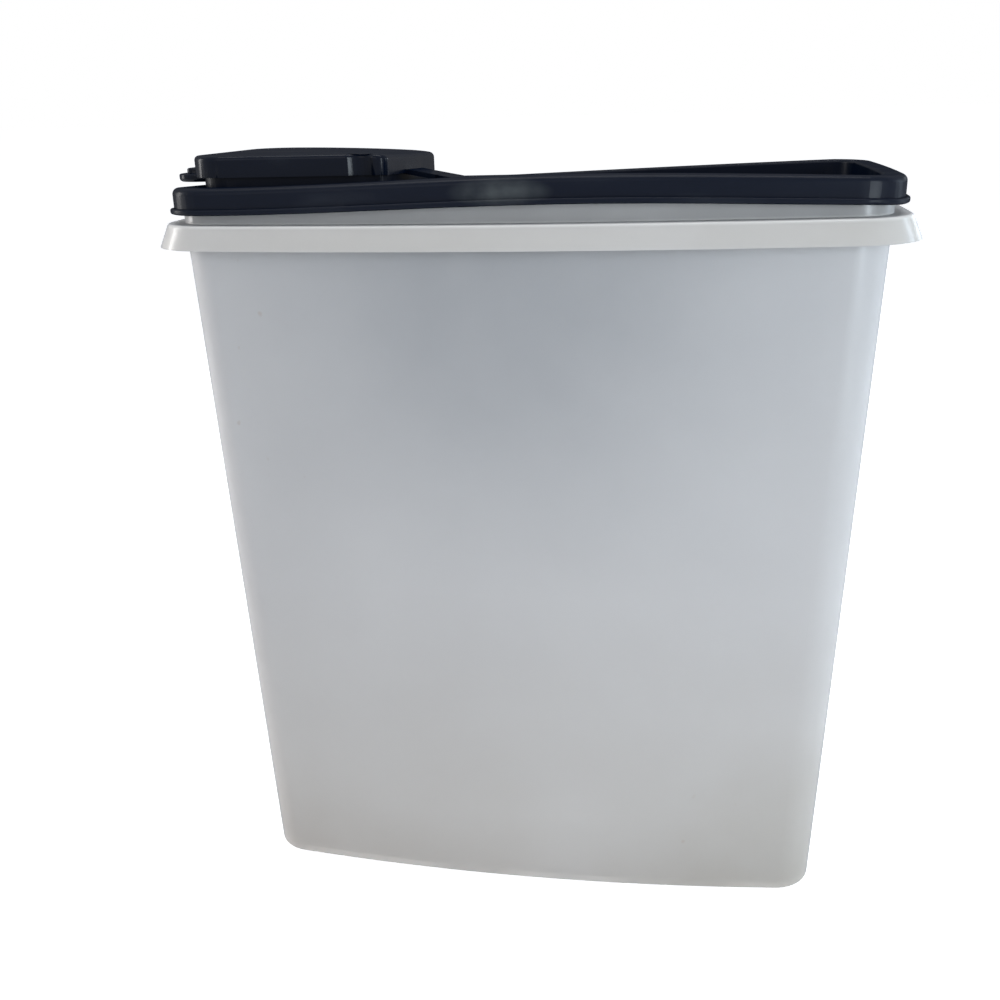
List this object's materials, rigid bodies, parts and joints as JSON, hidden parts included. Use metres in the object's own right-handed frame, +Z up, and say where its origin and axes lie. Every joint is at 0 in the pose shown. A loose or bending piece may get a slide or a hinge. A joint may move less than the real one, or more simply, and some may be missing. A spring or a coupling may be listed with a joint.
{
  "type": "food storage container",
  "caption": "Tall tapered frosted plastic food keeper with a skirted carrying flange, a dark press-on lid with a sunk panel, and a strap-hinged flip cap over a pouring spout.",
  "frame": {"origin": "centre of the base on the table", "axes": "+Z up, +X along the long side with the spout at the -X end, the wide front face towards -Y"},
  "size_m": [0.2474, 0.1176, 0.2674],
  "materials": {
    "frosted_plastic": "frosted translucent polyethylene",
    "dark_plastic": "semi-gloss soft polyethylene, blue-black"
  },
  "bodies": {
    "tub": {"container_tub": "frosted_plastic"},
    "lid": {"lid_seal": "dark_plastic", "hinge_strap": "dark_plastic"},
    "cap": {"flip_cap": "dark_plastic"}
  },
  "joints": [
    {"name": "lid_lift", "type": "slide", "parent": "tub", "child": "lid", "axis": [0, 0, 1], "range_m": [0, 0.06]},
    {"name": "cap_flip", "type": "hinge", "parent": "lid", "child": "cap", "pos_m": [-0.032, 0, 0.25986], "axis": [0, 1, 0], "range_deg": [0, 150]}
  ]
}
